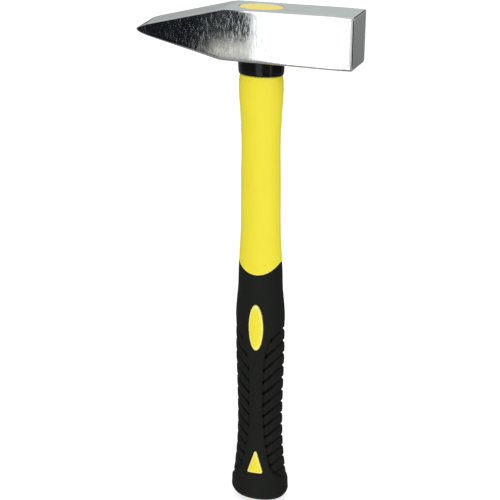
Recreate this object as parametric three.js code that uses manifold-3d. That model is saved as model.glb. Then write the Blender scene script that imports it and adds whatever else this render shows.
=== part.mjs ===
// Brick hammer: a forged steel head with a square face and a cross pein, on a fibreglass
// handle. A plastic jacket covers the fibreglass core, and a soft rubber sleeve with
// coloured inlays covers the lower half of the jacket.
//
// Millimetres. The origin is the middle of the butt's flat end. +Z runs up the handle to
// the head, +X points to the striking face and the cheeks face -Y and +Y.

import * as THREE from 'three';
import { mergeVertices } from 'three/addons/utils/BufferGeometryUtils.js';
import Module from 'manifold-3d';

const wasm = await Module();
wasm.setup();

// Clearance between pieces that touch.
const GAP = 0.3;
// Longer than any cut needs.
const THROUGH = 60;

// ---- Head -------------------------------------------------------------------------------
const HEAD_TOP = 300.45;       // at the handle's axis
const HEAD_BOTTOM = 270.93;    // at the handle's axis
const HEAD_WIDTH = 26;         // cheek to cheek
const FACE_X = 57;             // striking face
const TIP_X = -72.3;           // nose of the pein
const NOSE_TOP = 286.65;       // where the pein's slopes would meet the nose if it were square
const NOSE_BOTTOM = 284.15;
const NOSE_DROP = 2.0;         // the nose's upper corner is rounded over this height
const NOSE_REACH = 7.4;        // and this length of the slope
const NOSE_LOWER_CUT = 0.35;   // rounding of its lower corner
const TOP_BEND_X = -18.7;      // where the top face turns down to the pein
const BOTTOM_BEND_X = -20.4;   // where the bottom face turns up to the pein
const BEND_CUT = 2.5;          // length of each face that the bend's curve takes up
const TOP_RISE = 0.2;          // the head is that much taller at the striking face
const BOTTOM_DROP = 0.6;
const FACE_CORNER = 1.3;       // rounding of the striking face's upper and lower edges
const EDGE_CHAMFER = 0.7;      // on the long edges between the cheeks and the other faces
const PEIN_EDGE_HALF = 6.1;    // half of the pein's straight edge
const PEIN_CORNER_LENGTH = 9.2; // how far back the pein's corners are ground away

// The eye is narrowest inside the head, so the resin in it is locked.
const EYE_RINGS = [
  { z: HEAD_BOTTOM - 2, halfWidth: 12.1, halfDepth: 7.9 },
  { z: 283, halfWidth: 11.4, halfDepth: 7.3 },
  { z: HEAD_TOP + 2, halfWidth: 13.0, halfDepth: 8.5 },
];
const RESIN_BOTTOM = HEAD_BOTTOM + 0.6;
const RESIN_TOP = HEAD_TOP - 0.1;

// ---- Handle -----------------------------------------------------------------------------
// Outer surface of the grip and the jacket, from the butt to the collar.
const HANDLE_STATIONS = [
  { z: 9, halfWidth: 17.2, halfDepth: 12.8 },
  { z: 13.5, halfWidth: 16.75, halfDepth: 11.9 },
  { z: 19, halfWidth: 15.7, halfDepth: 10.6 },
  { z: 26, halfWidth: 14.85, halfDepth: 9.65 },
  { z: 38, halfWidth: 13.95, halfDepth: 8.95 },
  { z: 55, halfWidth: 13.6, halfDepth: 8.7 },
  { z: 75, halfWidth: 14, halfDepth: 8.8 },
  { z: 95, halfWidth: 14.6, halfDepth: 9 },
  { z: 112, halfWidth: 14.65, halfDepth: 9.15 },
  { z: 117, halfWidth: 14.9, halfDepth: 9.2 },
  { z: 126, halfWidth: 14.35, halfDepth: 9.15 },
  { z: 135, halfWidth: 13.5, halfDepth: 9 },
  { z: 145, halfWidth: 13.2, halfDepth: 8.8 },
  { z: 156, halfWidth: 12.65, halfDepth: 8.45 },
  { z: 168, halfWidth: 12, halfDepth: 8 },
  { z: 200, halfWidth: 11.75, halfDepth: 7.8 },
  { z: 225, halfWidth: 11.55, halfDepth: 7.65 },
  { z: 240, halfWidth: 12.25, halfDepth: 8.1 },
  { z: 253, halfWidth: 13.05, halfDepth: 8.6 },
  { z: 259, halfWidth: 12.9, halfDepth: 8.5 },
  { z: 262.1, halfWidth: 12.5, halfDepth: 8.1 },
];
const BUTT_RIM = HANDLE_STATIONS[0].z; // height of the butt's rounded rim
const BUTT_INSET = 5;          // how far the butt's flat end lies inside its widest outline
const JACKET_TOP = HANDLE_STATIONS.at(-1).z;
const RIM_STEPS = 5;
const HANDLE_SIDES = 28;

// The rubber's top edge is an arc in the front view, lowest in the middle.
const SCALLOP_RADIUS = 15.3;
const SCALLOP_CENTRE_Z = 159.6;
const GRIP_TOP = 153.6;        // the sleeve's two points at the sides

// The jacket's stem inside the rubber, and the core inside the jacket.
const STEM = { halfWidth: 10.4, halfDepth: 6.2, bottom: 5 };
const CORE = { halfWidth: 8, halfDepth: 4.2, bottom: 10, top: 297 };
const CORE_SIDES = 24;

const COLLAR_RINGS = [
  { z: 262.4, halfWidth: 12.9, halfDepth: 8.8 },
  { z: 263.3, halfWidth: 13.3, halfDepth: 9.2 },
  { z: 270.3, halfWidth: 13.6, halfDepth: 9.5 },
];

// Coloured inlays, flush in windows through the rubber.
const OVAL = { z: 112, halfWidth: 4.4, halfHeight: 14.2 };
const TRIANGLE = { bottom: 19.3, top: 32.7, halfWidth: 4.65, corner: 0.8 };
const INLAY_PROUD = 0.15;
const OVAL_SEGMENTS = 24;
const CORNER_SEGMENTS = 3;

// Grip panels: a chevron of grooves on both sides of a plain band, front and back.
const GROOVE_COUNT = 13;
const GROOVE_TOP_Z = 109.6;    // the first groove's height where it meets the side
const GROOVE_PITCH = 7.8;      // between the first two grooves
const GROOVE_PITCH_LOSS = 0.07; // each pitch is this much less than the one above
const GROOVE_RISE = 0.6;       // rise over run of a groove at the butt
const GROOVE_RISE_GAIN = 0.0038; // added for each millimetre of height, so they fan out
const GROOVE_WIDTH = 1.3;
const GROOVE_DEPTH = 0.9;
const SIDE_X = 13.9;           // where the grooves' heights are measured
const BAND_HALF = 4.0;         // half of the plain band between the chevrons
const BAND_TOP = 80;           // the band widens above and below these heights
const BAND_BOTTOM = 62;
const BAND_WIDENING_TOP = 0.0078;
const BAND_WIDENING_BOTTOM = 0.003;
const PANEL_FOOT = 25;         // below this the panel's edge turns out to the side
const PANEL_FOOT_TURN = 0.045;

// ---- Solids -----------------------------------------------------------------------------
function toSolid(geometry) {
  const bare = geometry.clone();
  bare.deleteAttribute('normal');
  bare.deleteAttribute('uv');
  const merged = mergeVertices(bare, 1e-4);
  return new wasm.Manifold(new wasm.Mesh({
    numProp: 3,
    vertProperties: Float32Array.from(merged.attributes.position.array),
    triVerts: Uint32Array.from(merged.index.array),
  }));
}

function toGeometry(solid) {
  const mesh = solid.getMesh();
  const geometry = new THREE.BufferGeometry();
  geometry.setAttribute('position', new THREE.BufferAttribute(mesh.vertProperties, 3));
  geometry.setIndex(new THREE.BufferAttribute(mesh.triVerts, 1));
  geometry.computeVertexNormals();
  return geometry;
}

// A closed body through elliptical rings, from the lowest ring to the highest.
function loft(rings, sides) {
  const positions = [];
  const triangles = [];
  for (const ring of rings) {
    for (let i = 0; i < sides; i += 1) {
      const angle = (2 * Math.PI * (i + 0.5)) / sides;
      positions.push(ring.halfWidth * Math.cos(angle), ring.halfDepth * Math.sin(angle), ring.z);
    }
  }
  for (let level = 0; level < rings.length - 1; level += 1) {
    for (let i = 0; i < sides; i += 1) {
      const low = level * sides + i;
      const lowNext = level * sides + ((i + 1) % sides);
      triangles.push(low, lowNext, lowNext + sides);
      triangles.push(low, lowNext + sides, low + sides);
    }
  }
  const top = (rings.length - 1) * sides;
  for (let i = 1; i < sides - 1; i += 1) {
    triangles.push(0, i + 1, i);
    triangles.push(top, top + i, top + i + 1);
  }
  const geometry = new THREE.BufferGeometry();
  geometry.setAttribute('position', new THREE.Float32BufferAttribute(positions, 3));
  geometry.setIndex(triangles);
  return toSolid(geometry);
}

// A straight body of one ellipse, such as the core and its bore.
function ellipticRod(ellipse, bottom, top, grow = 0) {
  const ring = (z) => ({
    z,
    halfWidth: ellipse.halfWidth + grow,
    halfDepth: ellipse.halfDepth + grow,
  });
  return loft([ring(bottom), ring(top)], CORE_SIDES);
}

function extrude(shape, depth, curveSegments) {
  return new THREE.ExtrudeGeometry(shape, { depth, curveSegments, bevelEnabled: false });
}

// A shape drawn in the front view, x across and z up, made into a body along Y.
function frontPrism(shape, yFrom, yTo, curveSegments = 12) {
  const geometry = extrude(shape, yTo - yFrom, curveSegments);
  geometry.rotateX(Math.PI / 2);
  geometry.translate(0, yTo, 0);
  return toSolid(geometry);
}

// ---- Handle surface ---------------------------------------------------------------------
const handleSpline = new THREE.CubicInterpolant(
  HANDLE_STATIONS.map((station) => station.z),
  HANDLE_STATIONS.flatMap((station) => [station.halfWidth, station.halfDepth]),
  2,
  new Float64Array(2),
);

// Half width and half depth at height z, grown outwards by grow. Below the first station
// the butt's rounded rim pulls both in.
function handleRing(z, grow = 0) {
  const below = Math.max(0, 1 - z / BUTT_RIM);
  const rim = BUTT_INSET * (1 - Math.sqrt(1 - below ** 2));
  const [halfWidth, halfDepth] = handleSpline.evaluate(Math.max(z, BUTT_RIM));
  return { z, halfWidth: halfWidth - rim + grow, halfDepth: halfDepth - rim + grow };
}

// The handle's surface from bottom to top as a closed body: the butt's rounded rim in equal
// angles, then a ring at each station.
function handleBody(bottom, top, grow = 0) {
  const heights = HANDLE_STATIONS.map((station) => station.z);
  for (let i = 1; i < RIM_STEPS; i += 1) {
    heights.push(BUTT_RIM * (1 - Math.cos((Math.PI / 2) * (i / RIM_STEPS))));
  }
  const between = heights.filter((z) => z > bottom && z < top).sort((a, b) => a - b);
  return loft([bottom, ...between, top].map((z) => handleRing(z, grow)), HANDLE_SIDES);
}

// What lies above the scallop, in the front view.
function aboveScallop(radius, top) {
  const shape = new THREE.Shape();
  shape.moveTo(-radius, top);
  shape.lineTo(-radius, SCALLOP_CENTRE_Z);
  shape.absarc(0, SCALLOP_CENTRE_Z, radius, Math.PI, 2 * Math.PI, false);
  shape.lineTo(radius, top);
  shape.closePath();
  return frontPrism(shape, -THROUGH / 2, THROUGH / 2, 20);
}

// ---- Head pieces ------------------------------------------------------------------------
// Adds a corner that is rounded by cutting the sides before and after it back by the given
// lengths.
function roundedCorner(shape, before, corner, after, cutBefore, cutAfter) {
  const along = (end, cut) => end.clone().sub(corner).setLength(cut).add(corner);
  const towardBefore = along(before, cutBefore);
  const towardAfter = along(after, cutAfter);
  shape.lineTo(towardBefore.x, towardBefore.y);
  shape.quadraticCurveTo(corner.x, corner.y, towardAfter.x, towardAfter.y);
}

// Corners of the head's side view, clockwise from the pein's nose as the front view shows it.
function headCorners() {
  const topSlope = TOP_RISE / FACE_X;
  const bottomSlope = -BOTTOM_DROP / FACE_X;
  return [
    { x: TIP_X, z: NOSE_TOP, cut: NOSE_DROP, cutAfter: NOSE_REACH },
    { x: TOP_BEND_X, z: HEAD_TOP + topSlope * TOP_BEND_X, cut: BEND_CUT },
    { x: FACE_X, z: HEAD_TOP + topSlope * FACE_X, cut: FACE_CORNER },
    { x: FACE_X, z: HEAD_BOTTOM + bottomSlope * FACE_X, cut: FACE_CORNER },
    { x: BOTTOM_BEND_X, z: HEAD_BOTTOM + bottomSlope * BOTTOM_BEND_X, cut: BEND_CUT },
    { x: TIP_X, z: NOSE_BOTTOM, cut: NOSE_LOWER_CUT },
  ];
}

function headOutline() {
  const corners = headCorners();
  const points = corners.map(({ x, z }) => new THREE.Vector2(x, z));
  const shape = new THREE.Shape();
  shape.moveTo(TIP_X, NOSE_TOP - NOSE_DROP);
  corners.forEach(({ cut, cutAfter = cut }, i) => {
    const before = points[(i + points.length - 1) % points.length];
    const after = points[(i + 1) % points.length];
    roundedCorner(shape, before, points[i], after, cut, cutAfter);
  });
  shape.closePath();
  return shape;
}

// Plan view of the head: the striking face's edges are rounded and the pein's corners are
// ground away.
function headPlan() {
  const half = HEAD_WIDTH / 2;
  const grindX = TIP_X + PEIN_CORNER_LENGTH;
  const grindDepth = half - PEIN_EDGE_HALF;
  const faceX = FACE_X - FACE_CORNER;
  const faceY = half - FACE_CORNER;
  const shape = new THREE.Shape();
  shape.moveTo(grindX, -half);
  shape.absarc(faceX, -faceY, FACE_CORNER, 1.5 * Math.PI, 2 * Math.PI);
  shape.absarc(faceX, faceY, FACE_CORNER, 0, 0.5 * Math.PI);
  shape.absellipse(
    grindX, PEIN_EDGE_HALF, PEIN_CORNER_LENGTH, grindDepth, 0.5 * Math.PI, Math.PI,
  );
  shape.absellipse(
    grindX, -PEIN_EDGE_HALF, PEIN_CORNER_LENGTH, grindDepth, Math.PI, 1.5 * Math.PI,
  );
  const geometry = extrude(shape, THROUGH, 6);
  geometry.translate(0, 0, (HEAD_TOP + HEAD_BOTTOM - THROUGH) / 2);
  return toSolid(geometry);
}

// What the chamfer takes off the edge between a cheek and the face from start to end, which
// are corners of the side view in clockwise order.
function edgeWedge(start, end, side) {
  const spare = 1;
  const across = new THREE.Vector3(0, 1, 0);
  const along = new THREE.Vector3(end.x - start.x, 0, end.z - start.z);
  const length = along.length();
  along.normalize();
  const outward = along.clone().cross(across);
  const cheek = HEAD_WIDTH / 2;
  const section = new THREE.Shape([
    new THREE.Vector2(side * (cheek - EDGE_CHAMFER - spare), spare),
    new THREE.Vector2(side * (cheek + spare), -EDGE_CHAMFER - spare),
    new THREE.Vector2(side * (cheek + spare), spare),
  ]);
  const geometry = extrude(section, length + 2 * spare, 1);
  const origin = new THREE.Vector3(start.x, 0, start.z).addScaledVector(along, -spare);
  geometry.applyMatrix4(
    new THREE.Matrix4().makeBasis(across, outward, along).setPosition(origin),
  );
  return toSolid(geometry);
}

function eyeBody(shrink) {
  return loft(EYE_RINGS.map((ring) => ({
    z: ring.z,
    halfWidth: ring.halfWidth - shrink,
    halfDepth: ring.halfDepth - shrink,
  })), HANDLE_SIDES);
}

function buildHead() {
  const [noseTop, topBend, faceTop, faceBottom, bottomBend, noseBottom] = headCorners();
  const longEdges = [
    [noseTop, topBend],
    [topBend, faceTop],
    [faceBottom, bottomBend],
    [bottomBend, noseBottom],
  ];
  let head = frontPrism(headOutline(), -THROUGH / 2, THROUGH / 2, 4).intersect(headPlan());
  for (const [start, end] of longEdges) {
    for (const side of [1, -1]) {
      head = head.subtract(edgeWedge(start, end, side));
    }
  }
  return head.subtract(eyeBody(0));
}

function buildEyeResin() {
  const slab = ellipticRod({ halfWidth: 20, halfDepth: 20 }, RESIN_BOTTOM, RESIN_TOP);
  const coreHole = ellipticRod(CORE, RESIN_BOTTOM - 1, CORE.top + GAP, GAP);
  return eyeBody(GAP).intersect(slab).subtract(coreHole);
}

function buildCoreRod() {
  return ellipticRod(CORE, CORE.bottom, CORE.top);
}

function buildCollar() {
  const [lowest, , highest] = COLLAR_RINGS;
  const hole = ellipticRod(CORE, lowest.z - 1, highest.z + 1, GAP);
  return loft(COLLAR_RINGS, HANDLE_SIDES).subtract(hole);
}

// ---- Handle pieces ----------------------------------------------------------------------
function buildJacket() {
  const upper = handleBody(SCALLOP_CENTRE_Z - SCALLOP_RADIUS, JACKET_TOP);
  const exposed = upper.intersect(aboveScallop(SCALLOP_RADIUS - GAP, JACKET_TOP + 1));
  const stem = ellipticRod(STEM, STEM.bottom, SCALLOP_CENTRE_Z);
  const bore = ellipticRod(CORE, CORE.bottom - GAP, JACKET_TOP + 1, GAP);
  return exposed.add(stem).subtract(bore);
}

// Height of groove number i where it meets the side of the grip.
function grooveSideZ(i) {
  return GROOVE_TOP_Z - GROOVE_PITCH * i + (GROOVE_PITCH_LOSS * i * (i - 1)) / 2;
}

// The panel's inner edge: the band's half width at height z.
function bandHalf(z) {
  const above = Math.max(0, z - BAND_TOP);
  const below = Math.max(0, BAND_BOTTOM - z);
  const foot = Math.max(0, PANEL_FOOT - z);
  return BAND_HALF + BAND_WIDENING_TOP * above ** 2 + BAND_WIDENING_BOTTOM * below ** 2
    + PANEL_FOOT_TURN * foot ** 2;
}

// Half width at which a groove's centre line meets the band, found by stepping in from the
// side.
function grooveInnerX(sideZ, rise) {
  let x = SIDE_X;
  while (x > bandHalf(sideZ - (SIDE_X - x) * rise)) {
    x -= GROOVE_WIDTH / 4;
  }
  return x;
}

// Grooves in the front view: slanted strips on both sides of the band, cut along Y.
function grooveStrips() {
  const outerX = SIDE_X + 3;
  let strips = null;
  for (let i = 0; i < GROOVE_COUNT; i += 1) {
    const sideZ = grooveSideZ(i);
    const rise = GROOVE_RISE + GROOVE_RISE_GAIN * sideZ;
    const halfHeight = (GROOVE_WIDTH / 2) * Math.hypot(1, rise);
    const innerX = grooveInnerX(sideZ, rise);
    const innerZ = sideZ - (SIDE_X - innerX) * rise;
    const outerZ = sideZ + (outerX - SIDE_X) * rise;
    for (const side of [1, -1]) {
      const shape = new THREE.Shape([
        new THREE.Vector2(side * innerX, innerZ - halfHeight),
        new THREE.Vector2(side * outerX, outerZ - halfHeight),
        new THREE.Vector2(side * outerX, outerZ + halfHeight),
        new THREE.Vector2(side * innerX, innerZ + halfHeight),
      ]);
      const strip = frontPrism(shape, -THROUGH / 2, THROUGH / 2);
      strips = strips === null ? strip : strips.add(strip);
    }
  }
  return strips;
}

function ovalShape(grow = 0) {
  const shape = new THREE.Shape();
  shape.absellipse(0, OVAL.z, OVAL.halfWidth + grow, OVAL.halfHeight + grow, 0, 2 * Math.PI);
  return shape;
}

// A triangle with round corners: the arcs' centres sit one corner radius inside.
function triangleShape(grow = 0) {
  const { bottom, top, halfWidth, corner } = TRIANGLE;
  const centres = [
    new THREE.Vector2(-halfWidth + corner, bottom + corner),
    new THREE.Vector2(halfWidth - corner, bottom + corner),
    new THREE.Vector2(0, top - corner),
  ];
  const radius = corner + grow;
  const rise = Math.atan2(centres[2].y - centres[1].y, centres[1].x - centres[2].x);
  const sideNormal = Math.PI / 2 - rise;
  const shape = new THREE.Shape();
  shape.absarc(centres[0].x, centres[0].y, radius, Math.PI - sideNormal, 1.5 * Math.PI);
  shape.absarc(centres[1].x, centres[1].y, radius, -0.5 * Math.PI, sideNormal);
  shape.absarc(centres[2].x, centres[2].y, radius, sideNormal, Math.PI - sideNormal);
  shape.closePath();
  return shape;
}

function buildGrip() {
  const outer = handleBody(0, GRIP_TOP);
  const grooveFloor = handleBody(GROOVE_DEPTH, GRIP_TOP, -GROOVE_DEPTH);
  const windows = frontPrism(ovalShape(GAP), -THROUGH / 2, THROUGH / 2, OVAL_SEGMENTS)
    .add(frontPrism(triangleShape(GAP), -THROUGH / 2, THROUGH / 2, CORNER_SEGMENTS));
  const bore = ellipticRod(STEM, STEM.bottom - GAP, GRIP_TOP + 1, GAP);
  return outer
    .subtract(grooveStrips())
    .add(grooveFloor)
    .subtract(aboveScallop(SCALLOP_RADIUS, SCALLOP_CENTRE_Z + 1))
    .subtract(windows)
    .subtract(bore);
}

// An inlay stands on the jacket's stem and ends a little proud of the rubber.
function buildInlay(shape, side, curveSegments) {
  const yFrom = side < 0 ? -THROUGH / 2 : 0;
  const prism = frontPrism(shape, yFrom, yFrom + THROUGH / 2, curveSegments);
  const stem = ellipticRod(STEM, STEM.bottom - GAP, SCALLOP_CENTRE_Z, GAP);
  return prism.intersect(handleBody(0, GRIP_TOP, INLAY_PROUD)).subtract(stem);
}

// ---- Materials and assembly -------------------------------------------------------------
const STEEL = { color: 0xb9bcbc, roughness: 0.32, metalness: 1 };
const YELLOW = { color: 0xf0e346, roughness: 0.42, metalness: 0 };
const RESIN = { color: 0xf0dc62, roughness: 0.35, metalness: 0 };
const FIBREGLASS = { color: 0xd9d3a4, roughness: 0.55, metalness: 0 };
const COLLAR_BLACK = { color: 0x101012, roughness: 0.28, metalness: 0 };
const RUBBER_BLACK = { color: 0x20211d, roughness: 0.78, metalness: 0 };

const hammer = new THREE.Group();

function addPiece(name, solid, finish) {
  const mesh = new THREE.Mesh(toGeometry(solid), new THREE.MeshStandardMaterial(finish));
  mesh.name = name;
  hammer.add(mesh);
}

addPiece('head', buildHead(), STEEL);
addPiece('eye_resin', buildEyeResin(), RESIN);
addPiece('core_rod', buildCoreRod(), FIBREGLASS);
addPiece('collar', buildCollar(), COLLAR_BLACK);
addPiece('handle_jacket', buildJacket(), YELLOW);
addPiece('rubber_grip', buildGrip(), RUBBER_BLACK);
for (const [place, side] of [['front', -1], ['back', 1]]) {
  addPiece(`oval_inlay_${place}`, buildInlay(ovalShape(), side, OVAL_SEGMENTS), YELLOW);
  addPiece(`triangle_inlay_${place}`, buildInlay(triangleShape(), side, CORNER_SEGMENTS), YELLOW);
}

export default hammer;
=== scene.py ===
import math

import bmesh
import bpy
import numpy as np
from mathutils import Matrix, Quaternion, Vector


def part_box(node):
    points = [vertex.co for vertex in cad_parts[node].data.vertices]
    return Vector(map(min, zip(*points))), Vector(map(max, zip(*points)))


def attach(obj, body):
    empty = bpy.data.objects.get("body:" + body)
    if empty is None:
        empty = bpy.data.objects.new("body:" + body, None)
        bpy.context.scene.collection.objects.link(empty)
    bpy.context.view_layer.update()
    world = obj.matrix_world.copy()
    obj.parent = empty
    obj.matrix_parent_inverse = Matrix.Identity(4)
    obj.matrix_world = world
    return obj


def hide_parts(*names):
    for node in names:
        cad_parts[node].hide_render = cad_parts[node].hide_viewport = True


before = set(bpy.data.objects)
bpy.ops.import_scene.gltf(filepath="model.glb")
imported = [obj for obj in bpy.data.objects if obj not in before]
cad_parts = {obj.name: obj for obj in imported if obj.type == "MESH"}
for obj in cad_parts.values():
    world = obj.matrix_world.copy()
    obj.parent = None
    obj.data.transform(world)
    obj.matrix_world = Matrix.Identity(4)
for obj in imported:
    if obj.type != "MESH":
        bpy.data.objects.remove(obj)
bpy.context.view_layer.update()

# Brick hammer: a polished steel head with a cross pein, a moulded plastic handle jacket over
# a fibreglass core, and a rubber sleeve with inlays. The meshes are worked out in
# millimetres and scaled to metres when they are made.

MM = 0.001
GAP = 0.3                     # clearance between pieces that touch
BODY = "root"


def node_span(node, axis):
    """Where a CAD node begins and ends along an axis, in millimetres."""
    low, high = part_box(node)
    return low[axis] / MM, high[axis] / MM


# ---- Sizes that the CAD model gives ------------------------------------------------------
X, Y, Z = range(3)
TIP_X, FACE_X = node_span("head", X)
CHEEK_Y = node_span("head", Y)[1]
JACKET_BOTTOM, JACKET_TOP = node_span("handle_jacket", Z)
CORE_BOTTOM, CORE_TOP = node_span("core_rod", Z)
COLLAR_BOTTOM, COLLAR_TOP = node_span("collar", Z)
RESIN_BOTTOM = node_span("eye_resin", Z)[0]

# ---- Head sizes --------------------------------------------------------------------------
HEAD_TOP = 300.45             # at the handle's axis
HEAD_BOTTOM = 270.93
TOP_RISE, BOTTOM_DROP = 0.2, 0.6   # the head is that much taller at the striking face
PEIN_X = -60.0                # where the pein's two slopes are given
PEIN_TOP, PEIN_BOTTOM = 289.8, 281.1
TOP_BEND_X, BOTTOM_BEND_X = -18.7, -20.4
BEND_REACH = 2.4              # how far each bend's curve reaches along the head
TIP_Z = 283.9
TOP_NOSE, TOP_NOSE_SKEW = 7.4, 0.2   # length of the nose's rounding, longer on the front side
BOTTOM_NOSE = 1.2
NOSE_CLOSING = 0.97           # share of the way to TIP_Z that the two roundings close
TIP_SHARES = (0.05, 0.5)      # ring sizes across the tip
TOP_EDGE, BOTTOM_EDGE, PEIN_EDGE = 0.4, 1.15, 0.45   # radii of the long edges
FACE_CORNER = 0.9             # added to those radii at the striking face
FACE_CORNER_LENGTH = 14.0     # the stretch over which it is added
FACE_EDGE = 1.1               # rounding of the striking face's four edges
FACE_EDGE_FLARE = 0.3         # how much longer the rounding is at the face's lower end
EDGE_ROOM = 1.8 * FACE_EDGE   # the last plain section stays this far behind the face
FACE_CROWN = 0.15
FACE_CROWN_SHARES = (0.93, 0.8, 0.6, 0.4, 0.2, 0.05)   # ring sizes across the crown
FACE_TILT = 0.018             # how much the striking face leans out towards its top
TILT_START, TILT_FULL = 20.0, 2.0   # how far behind the face the lean starts and is full
PEIN_EDGE_HALF = 6.1          # half of the pein's straight edge
PEIN_CORNER_LENGTH = 9.2

# The eye and what fills it. Rings are (z, half width, half depth).
EYE_RINGS = ((269.0, 12.1, 7.9), (283.0, 11.4, 7.3), (302.0, 13.0, 8.5))
EYE_RELIEF = 0.35             # small chamfer round the eye's mouth
EYE_RELIEF_LIFT = 0.05        # how far the chamfer's cone is raised
EYE_CUT_BELOW, EYE_CUT_ABOVE = 2.0, 1.5   # how far the eye's cutter runs past the head
EYE_COLUMNS = 96
RESIN_FIT = 0.06              # the resin's wall stays this far inside the eye's
RESIN_DIP = 0.12              # its rim lies this far below the top face
RESIN_TOP_RINGS = ((0.985, 0.05), (0.96, 0.0), (0.9, 0.03), (0.7, 0.1), (0.4, 0.14),
                   (0.1, 0.15))   # (share of the eye's size, depth below the rim)
CORE_HALF = (8.0, 4.2)        # half width and half depth
CORE_EDGE = 0.6
CORE_COLUMNS = 64

# ---- Handle sizes ------------------------------------------------------------------------
COLLAR_RINGS = ((COLLAR_BOTTOM, 12.9, 8.8), (COLLAR_BOTTOM + 0.9, 13.3, 9.2),
                (COLLAR_TOP, 13.6, 9.5))   # (z, half width, half depth)
COLLAR_FOOT_EDGE, COLLAR_TOP_EDGE = 0.5, 0.35
COLLAR_FOOT_SWELL = 0.2       # how far the collar's foot stands out
COLLAR_WALL_STOP = 0.4        # the plain wall ends this far below the collar's top
STEM_HALF = (10.4, 6.2)       # the jacket's stem inside the rubber
STEM_EDGE = 0.8
JACKET_EDGE, JACKET_FOOT_EDGE = 0.6, 0.4
JACKET_FOOT_RISES = (1.2, 0.9, 0.6)   # the last plain rows above the scalloped foot
GRIP_EDGE = 0.5

# Outer surface of the grip and the jacket: (z, half width, half depth)
HANDLE_STATIONS = np.array((
    (7.6, 17.43, 12.6), (13.5, 16.87, 11.95), (19.0, 15.85, 10.7), (26.0, 14.9, 9.65),
    (38.0, 13.95, 8.95), (55.0, 13.6, 8.7), (75.0, 14.0, 8.8), (95.0, 14.6, 9.0),
    (112.0, 14.65, 9.15), (117.0, 14.9, 9.2), (126.0, 14.35, 9.15), (135.0, 13.5, 9.0),
    (145.0, 13.2, 8.8), (156.0, 12.65, 8.45), (168.0, 12.0, 8.0), (200.0, 11.75, 7.8),
    (225.0, 11.55, 7.65), (240.0, 12.25, 8.1), (253.0, 13.05, 8.6), (259.0, 12.9, 8.5),
    (262.1, 12.5, 8.1),
))
BUTT_RADIUS = HANDLE_STATIONS[0, 0]
BUTT_FULLNESS = 1.78          # 2 would make the butt's rim a quarter circle
BUTT_SHARES = (0.1, 0.55)     # ring sizes across the butt's flat end
SCALLOP_RADIUS = 15.3         # arc of the rubber's top edge in the front view
SCALLOP_CENTRE_Z = 159.6
FITTING_STEPS = 8             # rounds of fitting a slanted edge or line to the surface

OVAL_Z, OVAL_HALF_WIDTH, OVAL_HALF_HEIGHT = 112.0, 4.4, 14.2
TRIANGLE_BOTTOM, TRIANGLE_TOP, TRIANGLE_HALF_WIDTH, TRIANGLE_CORNER = 19.3, 32.7, 4.65, 0.8
INLAY_GAP = 0.4
# Sections of an inlay's pad and of its window: (out from the outline, above the surface)
PAD_WALL = ((-0.05, -1.6), (0.0, -1.2))
PAD_RIM = ((0.0, -0.45), (-0.06, -0.2), (-0.2, -0.03), (-0.45, 0.07))
PAD_BASE_SHARES = (0.1, 0.4, 0.7, 0.97)
PAD_TOP_SHARES = (0.85, 0.7, 0.55, 0.4, 0.25, 0.1)
PAD_CROWN = 0.13
WINDOW_WALL = ((0.0, -0.5), (0.04, -0.3), (0.15, -0.12), (0.35, 0.0), (0.9, 0.12), (1.3, 1.0))
WINDOW_FLOOR_Y = 4.0          # windows are cut down to here, past the sleeve's bore

# Grip panels: a chevron of grooves on both sides of a plain band, front and back.
GROOVE_COUNT = 13
GROOVE_TOP_Z = 109.6          # the first groove's height where it meets the side
GROOVE_PITCH = 7.8
GROOVE_PITCH_LOSS = 0.07      # each pitch is this much less than the one above
GROOVE_RISE = 0.6             # rise over run of a groove at the butt
GROOVE_RISE_GAIN = 0.0038     # added for each millimetre of height
GROOVE_HALF_WIDTH = 0.8
GROOVE_DEPTH = 1.25
GROOVE_FLOOR, GROOVE_LIP = 0.45, 1.15   # where its wall is, in shares of its half width
GROOVE_FADE = 0.55            # grooves are this much shallower at the sides
GROOVE_FADE_X = (8.0, 13.5)   # where that sets in and is full
GROOVE_END = 0.45             # grooves deepen over this width inside the panel's edge
SIDE_X = 13.9                 # where the grooves' heights are measured
BAND_HALF = 4.0
BAND_TOP, BAND_BOTTOM = 80.0, 62.0
BAND_WIDENING_TOP, BAND_WIDENING_BOTTOM = 0.0078, 0.003
PANEL_FOOT, PANEL_FOOT_TURN = 25.0, 0.045
PANEL_RECESS = 0.1
PANEL_STEP = 0.6              # width of the step down into a panel
PANEL_EDGE_GROOVE = 0.55      # depth of the groove along a panel's edge
PANEL_EDGE_WIDTH, PANEL_EDGE_INSET = 0.45, 0.1
LAND_PILLOW = 0.25            # how far the middle of each land between grooves swells
BAND_PROUD = 0.12
BAND_HEIGHTS = (8.0, 14.0, GROOVE_TOP_Z - 8, GROOVE_TOP_Z + 6)   # a plateau's four heights
LEDGE_PROUD = 0.25            # the butt overhangs the foot of each panel by this much more
LEDGE_HEIGHTS = (8.0, 16.0, 22.0, 34.0)
LEDGE_EDGE_WIDENING, LEDGE_EDGE_DEEPENING = 0.25, 0.9   # of the edge groove under the ledge

# Rows of the grip's mesh follow the grooves between these side heights, finer near a groove.
PATTERN_BOTTOM, PATTERN_TOP = 18.6, GROOVE_TOP_Z + 2.5
FINE_PITCH, COARSE_PITCH, FINE_REACH = 0.26, 0.55, 1.4

GROOVE_SHADE = "painted_groove_shade"             # mesh attribute: how deep a point lies in a groove, for the painted shade in the grooves
GROOVE_SHADE_DEPTHS = (0.2, 0.8)    # depths where it begins and is full
RIM_HIGHLIGHT = "rim"                   # mesh attribute: how near a point is to a moulded rim, for the painted highlight along it
HANDLE_COLUMNS = 128
GRIP_COLUMNS = 256


# ---- Mesh helpers -----------------------------------------------------------------------
def angles(columns):
    return 2 * np.pi * np.arange(columns) / columns


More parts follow.
